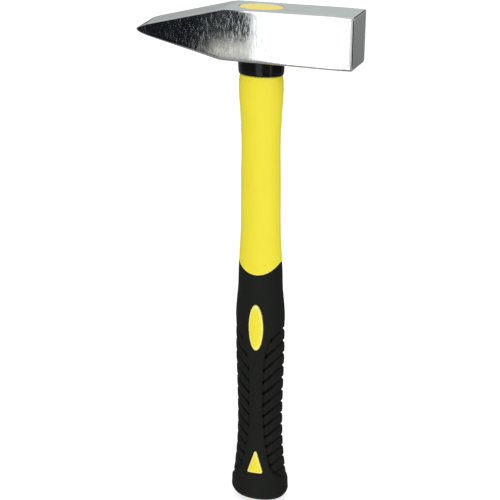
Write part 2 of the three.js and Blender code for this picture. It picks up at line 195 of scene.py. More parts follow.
def ellipse(z, half_width, half_depth, columns):
    """A ring of points, starting at +X. It is level, or z gives every point's height."""
    angle = angles(columns)
    return np.stack([half_width * np.cos(angle), half_depth * np.sin(angle),
                     np.full(columns, z)], axis=1)


def ring_body(name, rings, closed=False):
    """A closed mesh through rings of equal length. The ends are capped by a fan to their
    centre, or joined to each other where closed is true."""
    rings = np.asarray(rings, float)
    count, columns = rings.shape[:2]
    points = rings.reshape(-1, 3)
    faces = []
    for level in range(count if closed else count - 1):
        low, high = level * columns, ((level + 1) % count) * columns
        for i in range(columns):
            j = (i + 1) % columns
            faces.append((low + i, low + j, high + j, high + i))
    if not closed:
        top = (count - 1) * columns
        points = np.vstack([points, rings[0].mean(axis=0), rings[-1].mean(axis=0)])
        for i in range(columns):
            j = (i + 1) % columns
            faces.append((len(points) - 2, j, i))
            faces.append((len(points) - 1, top + i, top + j))
    mesh = bpy.data.meshes.new(name)
    mesh.from_pydata((points * MM).tolist(), [], faces)
    face_outwards(mesh)
    piece = bpy.data.objects.new(name, mesh)
    bpy.context.scene.collection.objects.link(piece)
    return piece


def face_outwards(mesh):
    """Turns all faces of a closed mesh outwards."""
    shape = bmesh.new()
    shape.from_mesh(mesh)
    bmesh.ops.recalc_face_normals(shape, faces=shape.faces)
    if shape.calc_volume(signed=True) < 0:
        bmesh.ops.reverse_faces(shape, faces=shape.faces)
    shape.to_mesh(mesh)
    shape.free()


def cut(piece, cutters):
    """Subtracts the cutters from the piece, and removes them."""
    for cutter in cutters:
        modifier = piece.modifiers.new("cut", "BOOLEAN")
        modifier.operation = "DIFFERENCE"
        modifier.solver = "MANIFOLD"
        modifier.object = cutter
    graph = bpy.context.evaluated_depsgraph_get()
    mesh = bpy.data.meshes.new_from_object(piece.evaluated_get(graph))
    piece.modifiers.clear()
    piece.data = mesh
    for cutter in cutters:
        bpy.data.objects.remove(cutter)


def finish_piece(piece, node, material, sharp_angle=35):
    """Smooth shading with sharp edges kept, a material, and the piece's place in the frame."""
    mesh = piece.data
    mesh.polygons.foreach_set("use_smooth", [True] * len(mesh.polygons))
    mesh.set_sharp_from_angle(angle=math.radians(sharp_angle))
    mesh.materials.clear()
    mesh.materials.append(material)
    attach(piece, BODY)
    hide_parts(node)


def store(mesh, name, values):
    """Stores a number for each point, for the materials to read."""
    attribute = mesh.attributes.new(name, "FLOAT", "POINT")
    attribute.data.foreach_set("value", values)


def store_rim_highlight(mesh, ring_count, columns, first, last):
    """Marks rings first to last as a moulded rim, for the painted highlight along it. The mesh ends
    with its two caps' centres.
    """
    level = np.repeat(np.arange(ring_count), columns)
    marked = np.append((level >= first) & (level <= last), (0, 0))
    store(mesh, RIM_HIGHLIGHT, marked.astype(float))


def smoothstep(low, high, value):
    t = np.clip((value - low) / (high - low), 0, 1)
    return t * t * (3 - 2 * t)


def plateau(heights, z):
    """Rises from 0 to 1 between the first two heights and falls back between the last two."""
    rise_start, rise_end, fall_start, fall_end = heights
    return smoothstep(rise_start, rise_end, z) * (1 - smoothstep(fall_start, fall_end, z))


# ---- Handle surface ---------------------------------------------------------------------
def handle_half(z):
    """Half width and half depth of the handle at heights z. Each stretch between stations
    is a cubic whose end slopes are the mean of the neighbouring stretches' slopes."""
    z = np.asarray(z, float)
    knots, values = HANDLE_STATIONS[:, 0], HANDLE_STATIONS[:, 1:]
    slopes = np.diff(values, axis=0) / np.diff(knots)[:, None]
    tangents = np.vstack([slopes[:1], (slopes[:-1] + slopes[1:]) / 2, slopes[-1:]])
    inside = np.clip(z, knots[0], knots[-1])
    i = np.clip(np.searchsorted(knots, inside, side="right") - 1, 0, len(knots) - 2)
    step = (knots[i + 1] - knots[i])[..., None]
    t = ((inside - knots[i]) / (knots[i + 1] - knots[i]))[..., None]
    half = ((2 * t**3 - 3 * t**2 + 1) * values[i] + (t**3 - 2 * t**2 + t) * step * tangents[i]
            + (3 * t**2 - 2 * t**3) * values[i + 1] + (t**3 - t**2) * step * tangents[i + 1])
    below = np.clip(1 - z / BUTT_RADIUS, 0, 1)
    rim = BUTT_RADIUS * (1 - (1 - below**BUTT_FULLNESS) ** (1 / BUTT_FULLNESS))
    return half[..., 0] - rim, half[..., 1] - rim


def handle_point(angle, z, grow=0.0):
    """Points on the handle's surface, which is grown by grow."""
    half_width, half_depth = handle_half(z)
    return np.stack([(half_width + grow) * np.cos(angle), (half_depth + grow) * np.sin(angle),
                     np.broadcast_to(z, np.shape(angle))], axis=-1)


def scallop_z(angle, radius):
    """Height of the scalloped edge round the handle."""
    z = np.full(np.shape(angle), SCALLOP_CENTRE_Z - radius)
    for _ in range(FITTING_STEPS):
        x = handle_half(z)[0] * np.cos(angle)
        z = SCALLOP_CENTRE_Z - np.sqrt(radius**2 - x**2)
    return z


def rounded_edge(radius, steps):
    """Quarter circle as (inset, drop) pairs, from the end face to the side wall."""
    turns = np.linspace(0, np.pi / 2, steps + 1)
    return [(radius * (1 - math.sin(turn)), radius * (1 - math.cos(turn))) for turn in turns]


# ---- Head -------------------------------------------------------------------------------
def bent_line(x, pein_z, bend_x, bend_z, after):
    """Height of a line from (PEIN_X, pein_z) that turns at its bend to slope after."""
    before = (bend_z - pein_z) / (bend_x - PEIN_X)
    t = np.clip((x - bend_x + BEND_REACH) / (2 * BEND_REACH), 0, 1)
    turned = np.where(x > bend_x + BEND_REACH, x - bend_x, BEND_REACH * t**2)
    return bend_z + before * (x - bend_x) + (after - before) * turned


def head_section(x):
    """Bottom, top and half width of the head at x, before the nose is rounded."""
    top_slope, bottom_slope = TOP_RISE / FACE_X, -BOTTOM_DROP / FACE_X
    top = bent_line(x, PEIN_TOP, TOP_BEND_X, HEAD_TOP + top_slope * TOP_BEND_X, top_slope)
    bottom = bent_line(x, PEIN_BOTTOM, BOTTOM_BEND_X, HEAD_BOTTOM + bottom_slope * BOTTOM_BEND_X,
                       bottom_slope)
    ground = np.clip((TIP_X + PEIN_CORNER_LENGTH - x) / PEIN_CORNER_LENGTH, 0, 1)
    half_width = PEIN_EDGE_HALF + (CHEEK_Y - PEIN_EDGE_HALF) * math.sqrt(1 - ground**2)
    return float(bottom), float(top), half_width


def rounded_rectangle(x, bottom, top, half_width, low_radius, high_radius):
    """Points round a rectangle in the YZ plane, starting on the +Y side's foot."""
    across, upright, corner = 20, 24, 5
    corners = ((half_width, bottom, -0.5, low_radius), (half_width, top, 0.0, high_radius),
               (-half_width, top, 0.5, high_radius), (-half_width, bottom, 1.0, low_radius))
    arcs = []
    for y, z, start, radius in corners:
        centre = np.array((y - math.copysign(radius, y), z + radius if z == bottom else z - radius))
        turn = np.pi * (start + 0.5 * np.arange(corner + 1) / corner)
        arcs.append(centre + radius * np.stack([np.cos(turn), np.sin(turn)], axis=1))
    points = []
    for i, arc in enumerate(arcs):
        divisions = upright if i % 2 == 0 else across
        share = np.arange(1, divisions)[:, None] / divisions
        points.extend([arc, arc[-1] + (arcs[(i + 1) % 4][0] - arc[-1]) * share])
    points = np.concatenate(points)
    return np.column_stack([np.full(len(points), x), points])


def head_ring(x, inset=0.0):
    """The head's outline at x: rounded edges, and the nose's rounding near the tip."""
    bottom, top, half_width = head_section(x)
    pein = 1 - smoothstep(PEIN_X, BOTTOM_BEND_X, x)
    end = smoothstep(FACE_X - FACE_CORNER_LENGTH, FACE_X, x)
    low_radius = BOTTOM_EDGE + (PEIN_EDGE - BOTTOM_EDGE) * pein + FACE_CORNER * end
    high_radius = TOP_EDGE + FACE_CORNER * end
    ring = rounded_rectangle(x, bottom + inset, top - inset, half_width - inset, low_radius,
                             high_radius)
    height = (ring[:, 2] - bottom) / (top - bottom)
    top_nose = TOP_NOSE - TOP_NOSE_SKEW * ring[:, 1]
    for share, z, reach in ((height, top, top_nose), (1 - height, bottom, BOTTOM_NOSE)):
        t = np.clip((TIP_X + reach - x) / reach, 0, 1)
        ring[:, 2] += share * (TIP_Z - z) * (1 - np.sqrt(1 - t**2)) * NOSE_CLOSING
    return ring


def shrunk(ring, share, x):
    """A ring drawn in towards its centre, and moved to x."""
    centre = ring.mean(axis=0)
    inner = centre + (ring - centre) * share
    inner[:, 0] = x
    return inner


def eye_rings(shrink, bottom, top):
    """Rings up the eye's wall, drawn in by shrink."""
    z, half_width, half_depth = np.array(EYE_RINGS).T
    return [ellipse(height, np.interp(height, z, half_width) - shrink,
                    np.interp(height, z, half_depth) - shrink, EYE_COLUMNS)
            for height in np.linspace(bottom, top, 12)]


def make_head():
    rings = [shrunk(head_ring(TIP_X), share, TIP_X) for share in TIP_SHARES]
    nose_end = TIP_X + TOP_NOSE
    slope_start = nose_end + 4
    bend_start, bend_end = TOP_BEND_X - 2 * BEND_REACH, TOP_BEND_X + 2 * BEND_REACH
    stretches = ((nose_end, slope_start, 8), (slope_start, bend_start, 30),
                 (bend_start, bend_end, 20), (bend_end, FACE_X - EDGE_ROOM, 40))
    sections = [TIP_X + TOP_NOSE * (1 - np.cos(np.linspace(0, np.pi / 2, 22)))]
    sections.extend(np.linspace(start, end, count)[1:] for start, end, count in stretches)
    rings.extend(head_ring(x) for x in np.concatenate(sections))
    for inset, drop in reversed(rounded_edge(FACE_EDGE, 6)[:-1]):
        ring = head_ring(FACE_X - FACE_CROWN - drop, inset)
        low = (HEAD_TOP - ring[:, 2]) / (HEAD_TOP - HEAD_BOTTOM)
        ring[:, 0] -= drop * FACE_EDGE_FLARE * low
        rings.append(ring)
    rim = rings[-1]
    for share in FACE_CROWN_SHARES:
        rings.append(shrunk(rim, share, FACE_X - FACE_CROWN * share**2))
    for ring in rings:
        lean = smoothstep(FACE_X - TILT_START, FACE_X - TILT_FULL, ring[:, 0])
        ring[:, 0] += FACE_TILT * lean * (ring[:, 2] - (HEAD_TOP + HEAD_BOTTOM) / 2)
    head = ring_body("head_forging", rings)
    mouth = HEAD_TOP - EYE_RELIEF
    eye = eye_rings(0.0, HEAD_BOTTOM - EYE_CUT_BELOW, mouth)
    mouth_width, mouth_depth = eye[-1][:, 0].max(), eye[-1][:, 1].max()
    for rise in (EYE_RELIEF, EYE_CUT_ABOVE):
        eye.append(ellipse(mouth + rise + EYE_RELIEF_LIFT, mouth_width + rise,
                           mouth_depth + rise, EYE_COLUMNS))
    cut(head, [ring_body("eye_cutter", eye)])
    return head


def make_eye_resin():
    hole = tuple(half + GAP for half in CORE_HALF)
    rings = [ellipse(z, *hole, EYE_COLUMNS) for z in (CORE_TOP + GAP, RESIN_BOTTOM)]
    rings.extend(eye_rings(RESIN_FIT, RESIN_BOTTOM, HEAD_TOP - EYE_RELIEF))
    rim = rings[-1]
    for share, dip in RESIN_TOP_RINGS:
        ring = rim * (share, share, 1)
        ring[:, 2] = HEAD_TOP - RESIN_DIP - dip
        rings.append(ring)
    return ring_body("eye_resin_fill", rings)


def make_core_rod():
    half_width, half_depth = CORE_HALF
    edge = rounded_edge(CORE_EDGE, 4)
    rings = [ellipse(CORE_BOTTOM + drop, half_width - inset, half_depth - inset, CORE_COLUMNS)
             for inset, drop in edge]
    rings.extend(ellipse(z, half_width, half_depth, CORE_COLUMNS)
                 for z in np.linspace(CORE_BOTTOM + 5, CORE_TOP - 5, 40))
    rings.extend(ellipse(CORE_TOP - drop, half_width - inset, half_depth - inset, CORE_COLUMNS)
                 for inset, drop in reversed(edge))
    return ring_body("core_rod_pultrusion", rings)


def make_collar():
    columns = HANDLE_COLUMNS
    bore = tuple(half + GAP for half in CORE_HALF)
    low, shoulder, high = COLLAR_RINGS
    rings = [ellipse(z, *bore, columns) for z in (high[0], low[0])]
    rings.append(ellipse(low[0], low[1] - COLLAR_FOOT_EDGE, low[2] - COLLAR_FOOT_EDGE, columns))
    for inset, drop in rounded_edge(COLLAR_FOOT_EDGE, 4):
        rings.append(ellipse(low[0] + drop, low[1] - inset + COLLAR_FOOT_SWELL,
                             low[2] - inset + COLLAR_FOOT_SWELL, columns))
    for share in np.linspace(0.1, 1, 8):
        z, half_width, half_depth = np.array(shoulder) * (1 - share) + np.array(high) * share
        rings.append(ellipse(min(z, high[0] - COLLAR_WALL_STOP), half_width, half_depth, columns))
    for inset, drop in reversed(rounded_edge(COLLAR_TOP_EDGE, 4)):
        rings.append(ellipse(high[0] - drop, high[1] - inset, high[2] - inset, columns))
    return ring_body("collar_ring", rings, closed=True)


# ---- Handle pieces ----------------------------------------------------------------------
def make_jacket():
    columns = HANDLE_COLUMNS
    angle = angles(columns)
    foot = scallop_z(angle, SCALLOP_RADIUS - GAP)
    bore = tuple(half + GAP for half in CORE_HALF)
    rings = [ellipse(z, *bore, columns) for z in (CORE_BOTTOM - GAP, JACKET_TOP)]
    for inset, drop in rounded_edge(JACKET_EDGE, 4):
        rings.append(handle_point(angle, JACKET_TOP - drop, -inset))
    for share in np.linspace(0, 1, 130)[1:-1]:
        z = (JACKET_TOP - JACKET_EDGE) * (1 - share) + (foot + JACKET_FOOT_RISES[0]) * share
        rings.append(handle_point(angle, z))
    for rise in JACKET_FOOT_RISES[1:]:
        rings.append(handle_point(angle, foot + rise))
    rim_first = len(rings)
    for inset, drop in reversed(rounded_edge(JACKET_FOOT_EDGE, 4)):
        rings.append(handle_point(angle, foot + drop, -inset))
    rim_last = len(rings) - 1
    for share in np.linspace(0, 1, 24):
        z = foot * (1 - share) + (JACKET_BOTTOM + STEM_EDGE) * share
        rings.append(ellipse(z, *STEM_HALF, columns))
    for inset, drop in reversed(rounded_edge(STEM_EDGE, 4)[:-1]):
        rings.append(ellipse(JACKET_BOTTOM + drop, STEM_HALF[0] - inset, STEM_HALF[1] - inset,
                             columns))
    shell = ring_body("jacket_shell", rings)
    store_rim_highlight(shell.data, len(rings), columns, rim_first, rim_last)
    return shell


def groove_side_z(i):
    """Height of groove number i where it meets the grip's side."""
    return GROOVE_TOP_Z - GROOVE_PITCH * i + GROOVE_PITCH_LOSS * i * (i - 1) / 2


def groove_rise(side_z):
    """Rise over run of the groove line that meets the side at side_z."""
    return GROOVE_RISE + GROOVE_RISE_GAIN * side_z


def band_half(z):
    """Half width of the plain band at height z."""
    above = np.clip(z - BAND_TOP, 0, None)
    below = np.clip(BAND_BOTTOM - z, 0, None)
    foot = np.clip(PANEL_FOOT - z, 0, None)
    return (BAND_HALF + BAND_WIDENING_TOP * above**2 + BAND_WIDENING_BOTTOM * below**2
            + PANEL_FOOT_TURN * foot**2)


def level_x(x):
    """Distance from the middle of the band, with the crease at the middle rounded off."""
    away = np.abs(x)
    return np.where(away > BAND_HALF, away, away**2 / (2 * BAND_HALF) + BAND_HALF / 2)


def chevron_z(side_z, angle):
    """Heights round the handle of a line that runs along the grooves and meets the side at
    side_z."""
    z = np.full(np.shape(angle), float(side_z))
    for _ in range(FITTING_STEPS):
        x = handle_half(z)[0] * np.cos(angle)
        z = side_z - (SIDE_X - level_x(x)) * groove_rise(side_z)
    return z


def side_height(x, z):
    """The side height of the groove line through (x, z)."""
    run = SIDE_X - np.abs(x)
    return (z + run * GROOVE_RISE) / (1 - run * GROOVE_RISE_GAIN)


def grip_relief(x, z):
    """How far the grip stands out from the handle's surface: recessed panels with a groove
    along their edge, slanted grooves and softly swollen lands between them."""
    side = side_height(x, z)
    slant = np.hypot(1, groove_rise(side))
    slope = band_half(z + 0.5) - band_half(z - 0.5)   # of the band's edge, over a millimetre
    from_band = (np.abs(x) - band_half(z)) / np.hypot(1, slope)
    from_top = (GROOVE_TOP_Z - side) / slant + GROOVE_HALF_WIDTH
    inside = np.minimum(from_band, from_top)
    ledge = plateau(LEDGE_HEIGHTS, z)
    proud = (BAND_PROUD + LEDGE_PROUD * ledge) * plateau(BAND_HEIGHTS, z)
    in_panel = smoothstep(0.0, PANEL_STEP, inside)
    relief = proud * (1 - in_panel) - PANEL_RECESS * in_panel
    edge_width = PANEL_EDGE_WIDTH + LEDGE_EDGE_WIDENING * ledge
    from_edge = (inside - edge_width - PANEL_EDGE_INSET) / edge_width
    edge = np.exp(-from_edge**2) * (from_band < from_top)
    relief -= PANEL_EDGE_GROOVE * (1 + LEDGE_EDGE_DEEPENING * ledge) * edge
    within = smoothstep(0.0, GROOVE_END, inside)
    depth = GROOVE_DEPTH - GROOVE_FADE * smoothstep(*GROOVE_FADE_X, np.abs(x))
    heights = np.array([groove_side_z(i) for i in range(GROOVE_COUNT)])
    for height in heights:
        distance = np.abs(side - height) / slant
        floor = 1 - smoothstep(GROOVE_FLOOR * GROOVE_HALF_WIDTH, GROOVE_LIP * GROOVE_HALF_WIDTH,
                               distance)
        relief -= depth * within * floor
    for upper, lower in zip(heights[:-1], heights[1:]):
        share = np.clip((side - lower) / (upper - lower), 0, 1)
        relief += LAND_PILLOW * within * 4 * share * (1 - share)
    return relief


def grip_row_heights(angle):
    """Heights of every row of the grip's outer surface, from the butt to the scallop."""
    edge = scallop_z(angle, SCALLOP_RADIUS)
    first, last = chevron_z(PATTERN_TOP, angle), chevron_z(PATTERN_BOTTOM, angle)
    rows = [BUTT_RADIUS * (1 - share) + last * share for share in np.linspace(0, 1, 22)[:-1]]
    pattern = [PATTERN_BOTTOM]
    while pattern[-1] < PATTERN_TOP:
        nearest = min(abs(pattern[-1] - groove_side_z(i)) for i in range(GROOVE_COUNT))
        pattern.append(pattern[-1] + (FINE_PITCH if nearest < FINE_REACH else COARSE_PITCH))
    rows.extend(chevron_z(side_z, angle) for side_z in pattern[:-1])
    rows.extend(first * (1 - share) + (edge - GRIP_EDGE) * share
                for share in np.linspace(0, 1, 60))
    return rows, edge


def make_grip():
    columns = GRIP_COLUMNS
    angle = angles(columns)
    bore = tuple(half + GAP for half in STEM_HALF)
    floor = JACKET_BOTTOM - GAP
    heights, edge = grip_row_heights(angle)
    low_half = np.array(handle_half(0.0))
    rings = [ellipse(0.0, *(low_half * share), columns) for share in BUTT_SHARES]
    for turn in np.linspace(0, np.pi / 2, 20)[:-1]:
        rings.append(handle_point(angle, BUTT_RADIUS * (1 - math.cos(turn))))
    for z in heights:
        x = handle_half(z)[0] * np.cos(angle)
        rings.append(handle_point(angle, z, grip_relief(x, z)))
    for inset, drop in reversed(rounded_edge(GRIP_EDGE, 5)[:-1]):
        rings.append(handle_point(angle, edge - drop, -inset))
    for share in np.linspace(0, 1, 8):
        rings.append(ellipse(edge * (1 - share) + floor * share, *bore, columns))
    grip = ring_body("grip_sleeve", rings)
    cut(grip, [window_cutter(outline, side) for outline in (oval_outline(), triangle_outline())
               for side in (-1, 1)])
    store_groove_shade(grip.data)
    return grip


def store_groove_shade(mesh):
    """Stores how deep each point of the grip lies in a groove, from 0 to 1, for the painted shade
    in the grooves.
    """
    points = np.empty(len(mesh.vertices) * 3)
    mesh.vertices.foreach_get("co", points)
    x, _, z = points.reshape(-1, 3).T / MM
    store(mesh, GROOVE_SHADE, smoothstep(*GROOVE_SHADE_DEPTHS, -grip_relief(x, z)))


# ---- Inlays -----------------------------------------------------------------------------
def oval_outline(points=96):
    angle = angles(points)
    return np.stack([OVAL_HALF_WIDTH * np.cos(angle),
                     OVAL_Z + OVAL_HALF_HEIGHT * np.sin(angle)], axis=1)


def triangle_outline(side_points=14, corner_points=8):
    """A triangle, apex up, whose corners are arcs."""
    corner = TRIANGLE_CORNER
    centres = np.array(((TRIANGLE_HALF_WIDTH - corner, TRIANGLE_BOTTOM + corner),
                        (0, TRIANGLE_TOP - corner),
                        (corner - TRIANGLE_HALF_WIDTH, TRIANGLE_BOTTOM + corner)))
    points = []
    for i in range(3):
        before, here, after = centres[i - 1], centres[i], centres[(i + 1) % 3]
        turn_in = math.atan2(*(here - before)[::-1]) - np.pi / 2
        turn_out = math.atan2(*(after - here)[::-1]) - np.pi / 2
        turn_out += 2 * np.pi * math.ceil((turn_in - turn_out) / (2 * np.pi))
        turn = np.linspace(turn_in, turn_out, corner_points)
        arc = here + corner * np.stack([np.cos(turn), np.sin(turn)], axis=1)
        points.extend(arc)
        reach = after - here
        share = np.arange(1, side_points)[:, None] / side_points
        points.extend(arc[-1] + reach * share)
    return np.array(points)


def outward(outline):
    """Unit normals of a counter-clockwise outline."""
    along = np.roll(outline, -1, axis=0) - np.roll(outline, 1, axis=0)
    normal = np.stack([along[:, 1], -along[:, 0]], axis=1)
    return normal / np.linalg.norm(normal, axis=1)[:, None]


def on_handle(points, side, grow):
    """Front-view points (x, z) laid on the handle's surface, which is grown by grow."""
    half_width, half_depth = handle_half(points[:, 1])
    share = np.clip(points[:, 0] / (half_width + grow), -0.999, 0.999)
    y = side * (half_depth + grow) * np.sqrt(1 - share**2)
    return np.column_stack([points[:, 0], y, points[:, 1]])


def on_stem(points, side):
    """Front-view points (x, z) laid just outside the jacket's stem."""
    half_width, half_depth = (half + GAP for half in STEM_HALF)
    y = side * half_depth * np.sqrt(1 - (points[:, 0] / half_width) ** 2)
    return np.column_stack([points[:, 0], y, points[:, 1]])


def window_cutter(outline, side):
    """Cuts an inlay's window through the sleeve and rounds its lip."""
    normal = outward(outline)
    deep = on_handle(outline + INLAY_GAP * normal, side, 0)
    deep[:, 1] = side * WINDOW_FLOOR_Y
    rings = [deep]
    for offset, grow in WINDOW_WALL:
        rings.append(on_handle(outline + (INLAY_GAP + offset) * normal, side, grow))
    return ring_body("window_cutter", rings)


def make_inlay(name, outline, side):
    """A pad that stands on the stem and ends a little proud of the rubber, with rounded
    edges and a soft crown."""
    normal = outward(outline)
    centre = outline.mean(axis=0)
    base = outline + PAD_WALL[0][0] * normal
    rings = [on_stem(centre + (base - centre) * share, side) for share in PAD_BASE_SHARES]
    rim_first = len(rings) + len(PAD_WALL)
    for offset, grow in PAD_WALL + PAD_RIM:
        rings.append(on_handle(outline + offset * normal, side, grow))
    rim_last = len(rings) - 1
    rim_offset, rim_grow = PAD_RIM[-1]
    top = outline + rim_offset * normal
    for share in PAD_TOP_SHARES:
        grow = rim_grow + PAD_CROWN * (1 - share**2)
        rings.append(on_handle(centre + (top - centre) * share, side, grow))
    pad = ring_body(name, rings)
    store_rim_highlight(pad.data, len(rings), len(outline), rim_first, rim_last)
    return pad


# ---- Materials --------------------------------------------------------------------------
class NodeTree:
    """Short calls for building a material's or the world's nodes."""

    def __init__(self, tree):
        self.tree = tree

    def add(self, kind, settings=None, **inputs):
        """Adds a node. Inputs are named, or numbered as i0, i1 and so on."""
        node = self.tree.nodes.new(kind)
        for key, value in (settings or {}).items():
            setattr(node, key, value)
        for key, value in inputs.items():
            self.give(node, int(key[1:]) if key[1:].isdigit() else key.replace("_", " "), value)
        return node

    def give(self, node, key, value):
        """Sets an input, or links it if the value is another node or one of its sockets."""
        if isinstance(value, bpy.types.Node):
            value = value.outputs[0]
        if isinstance(value, bpy.types.NodeSocket):
            self.tree.links.new(value, node.inputs[key])
        else:
            node.inputs[key].default_value = value

    def math(self, operation, first, second=0.0):
        return self.add("ShaderNodeMath", {"operation": operation}, i0=first, i1=second)

    def remap(self, value, low, high, to_low=0.0, to_high=1.0, smooth=True):
        settings = {"interpolation_type": "SMOOTHSTEP" if smooth else "LINEAR"}
        return self.add("ShaderNodeMapRange", settings, Value=value, From_Min=low, From_Max=high,
                        To_Min=to_low, To_Max=to_high)

    def noise(self, cell, detail=2.0, roughness=0.5):
        """Noise whose grains are about cell millimetres across, as one size or (x, y, z)."""
        where = self.add("ShaderNodeTexCoord").outputs["Object"]
        sizes = cell if isinstance(cell, tuple) else (cell, cell, cell)
        scale = tuple(1 / (MM * size) for size in sizes)
        spread = self.add("ShaderNodeVectorMath", {"operation": "MULTIPLY"}, i0=where, i1=scale)
        return self.add("ShaderNodeTexNoise", None, Vector=spread, Scale=1.0, Detail=detail,
                        Roughness=roughness).outputs[0]

    def mix(self, share, first, second):
        """Mixes two colours. The colour sockets of a mix node are numbers 6 and 7, and 2 out."""
        node = self.add("ShaderNodeMix", {"data_type": "RGBA"}, i0=share, i6=first, i7=second)
        return node.outputs[2]

    def bump(self, height, depth, normal=None):
        """A bump whose full height is depth millimetres."""
        node = self.add("ShaderNodeBump", None, Height=height, Distance=depth * MM, Strength=1.0)
        if normal is not None:
            self.give(node, "Normal", normal)
        return node.outputs[0]


def new_material(name, **sockets):
    material = bpy.data.materials.new(name)
    material.use_nodes = True
    nodes = NodeTree(material.node_tree)
    shader = material.node_tree.nodes["Principled BSDF"]
    for key, value in sockets.items():
        shader.inputs[key.replace("_", " ")].default_value = value
    return material, nodes, shader


def colour(red, green, blue, gain=1.0):
    """A scene-linear colour from display values of 0 to 255."""
    linear = [((value / 255 + 0.055) / 1.055) ** 2.4 for value in (red, green, blue)]
    return (*[gain * value for value in linear], 1.0)


def facing(nodes, axis):
    """How much the surface faces along an axis, on either side of it."""
    normal = nodes.add("ShaderNodeTexCoord").outputs["Normal"]
    parts = nodes.add("ShaderNodeSeparateXYZ", None, Vector=normal)
    return nodes.math("ABSOLUTE", parts.outputs[axis])


def brushed_steel():
    """Polished steel with fine grinding lines: upright on the cheeks and the striking face,
    lengthwise on the top and on the pein's slopes."""
    material, nodes, shader = new_material("brushed_steel", Metallic=1.0)
    cheek = nodes.remap(facing(nodes, "Y"), 0.6, 0.8)
    upright = nodes.noise((0.9, 2.0, 9.0), detail=2.0, roughness=0.6)
    lengthwise = nodes.noise((14.0, 0.8, 14.0), detail=2.0, roughness=0.6)
    lines = nodes.mix(cheek, lengthwise, upright)
    blotches = nodes.noise(7.0, detail=3.0)
    tone = nodes.remap(lines, 0.3, 0.7, 0.0, 1.0)
    nodes.give(shader, "Base Color", nodes.mix(tone, colour(214, 217, 219), colour(232, 234, 235)))
    scratches = nodes.noise((0.48, 2.0, 2.8), detail=1.0)
    nodes.give(shader, "Roughness", nodes.remap(scratches, 0.45, 0.8, 0.025, 0.105, smooth=False))
    fine = nodes.bump(lines, 0.0009)
    nodes.give(shader, "Normal", nodes.bump(blotches, 0.004, fine))
    return material


def eye_resin():
    material, nodes, shader = new_material("eye_resin", Roughness=0.35)
    clouds = nodes.noise(4.0, detail=3.0)
    nodes.give(shader, "Base Color",
               nodes.mix(clouds, colour(238, 214, 90), colour(246, 226, 108)))
    nodes.give(shader, "Normal", nodes.bump(nodes.noise(1.2), 0.01))
    return material


def fibreglass():
    """Pultruded glass fibre: long pale strands in amber resin."""
    material, nodes, shader = new_material("fibreglass", Roughness=0.5)
    strands = nodes.noise((0.35, 0.35, 40.0), detail=5.0, roughness=0.65)
    nodes.give(shader, "Base Color",
               nodes.mix(strands, colour(186, 176, 128), colour(232, 228, 196)))
    nodes.give(shader, "Normal", nodes.bump(strands, 0.03))
    return material


def collar_plastic():
    material, nodes, shader = new_material("collar_plastic", Specular_IOR_Level=0.25)
    grain = nodes.noise((0.5, 0.5, 4.0), detail=3.0)
    nodes.give(shader, "Base Color", nodes.mix(grain, colour(5, 5, 7), colour(9, 9, 11)))
    nodes.give(shader, "Roughness", nodes.remap(grain, 0.3, 0.7, 0.14, 0.22))
    nodes.give(shader, "Normal", nodes.bump(grain, 0.004))
    return material


def yellow_plastic():
    """Satin moulded plastic with a faint mottle and a fine orange peel, and a painted highlight
    along its moulded rims.
    """
    material, nodes, shader = new_material("yellow_plastic", Specular_IOR_Level=0.45)
    mottle = nodes.noise((5.0, 5.0, 16.0), detail=3.0)
    peel = nodes.noise(0.7, detail=2.0)
    rim = nodes.add("ShaderNodeAttribute", {"attribute_name": RIM_HIGHLIGHT}).outputs["Fac"]
    skin = nodes.mix(mottle, colour(237, 221, 40), colour(242, 228, 50))
    # Moulded rims are painted a paler yellow: a painted highlight along the rounded edges.
    nodes.give(shader, "Base Color", nodes.mix(rim, skin, colour(250, 243, 140)))
    nodes.give(shader, "Roughness", nodes.remap(mottle, 0.3, 0.7, 0.40, 0.48))
    nodes.give(shader, "Normal", nodes.bump(peel, 0.004))
    return material


def grip_rubber():
    """Matte black rubber with a fine spark-eroded grain, painted darker towards the groove bottoms
    as painted shade.
    """
    material, nodes, shader = new_material("grip_rubber", Specular_IOR_Level=0.25)
    grain = nodes.noise(0.35, detail=3.0, roughness=0.6)
    wear = nodes.noise((6.0, 6.0, 12.0), detail=4.0)
    painted_groove_shade = nodes.add("ShaderNodeAttribute", {"attribute_name": GROOVE_SHADE}).outputs["Fac"]
    skin = nodes.mix(wear, colour(17, 20, 13), colour(21, 24, 16))
    # The deeper a point lies in a groove, the darker its colour: painted shade in the grooves.
    nodes.give(shader, "Base Color", nodes.mix(painted_groove_shade, skin, colour(5, 5, 4)))
    nodes.give(shader, "Roughness", nodes.remap(wear, 0.3, 0.7, 0.60, 0.70))
    nodes.give(shader, "Normal", nodes.bump(grain, 0.02))
    return material


# ---- Stage ------------------------------------------------------------------------------
def grey(level, tint=(1.0, 1.0, 1.0)):
    return (*[level * part for part in tint], 1.0)


CAMERA_AIM = (0.0, 0.0, 0.150)
CAMERA_DISTANCE = 1.1129
CAMERA_AZIMUTH, CAMERA_ELEVATION, CAMERA_ROLL = 18.486, 19.37, 0.212   # degrees
CAMERA_LENS = 137.7
CAMERA_SHIFT = (-0.0213, 0.0238)

FLOOR_SIZE = 40               # metres
FLOOR_TONE, FLOOR_GLOW = 0.4, 0.72
EVEN_LIGHT = (1.54, 0.46)     # diffuse light along the line of sight, and from either side

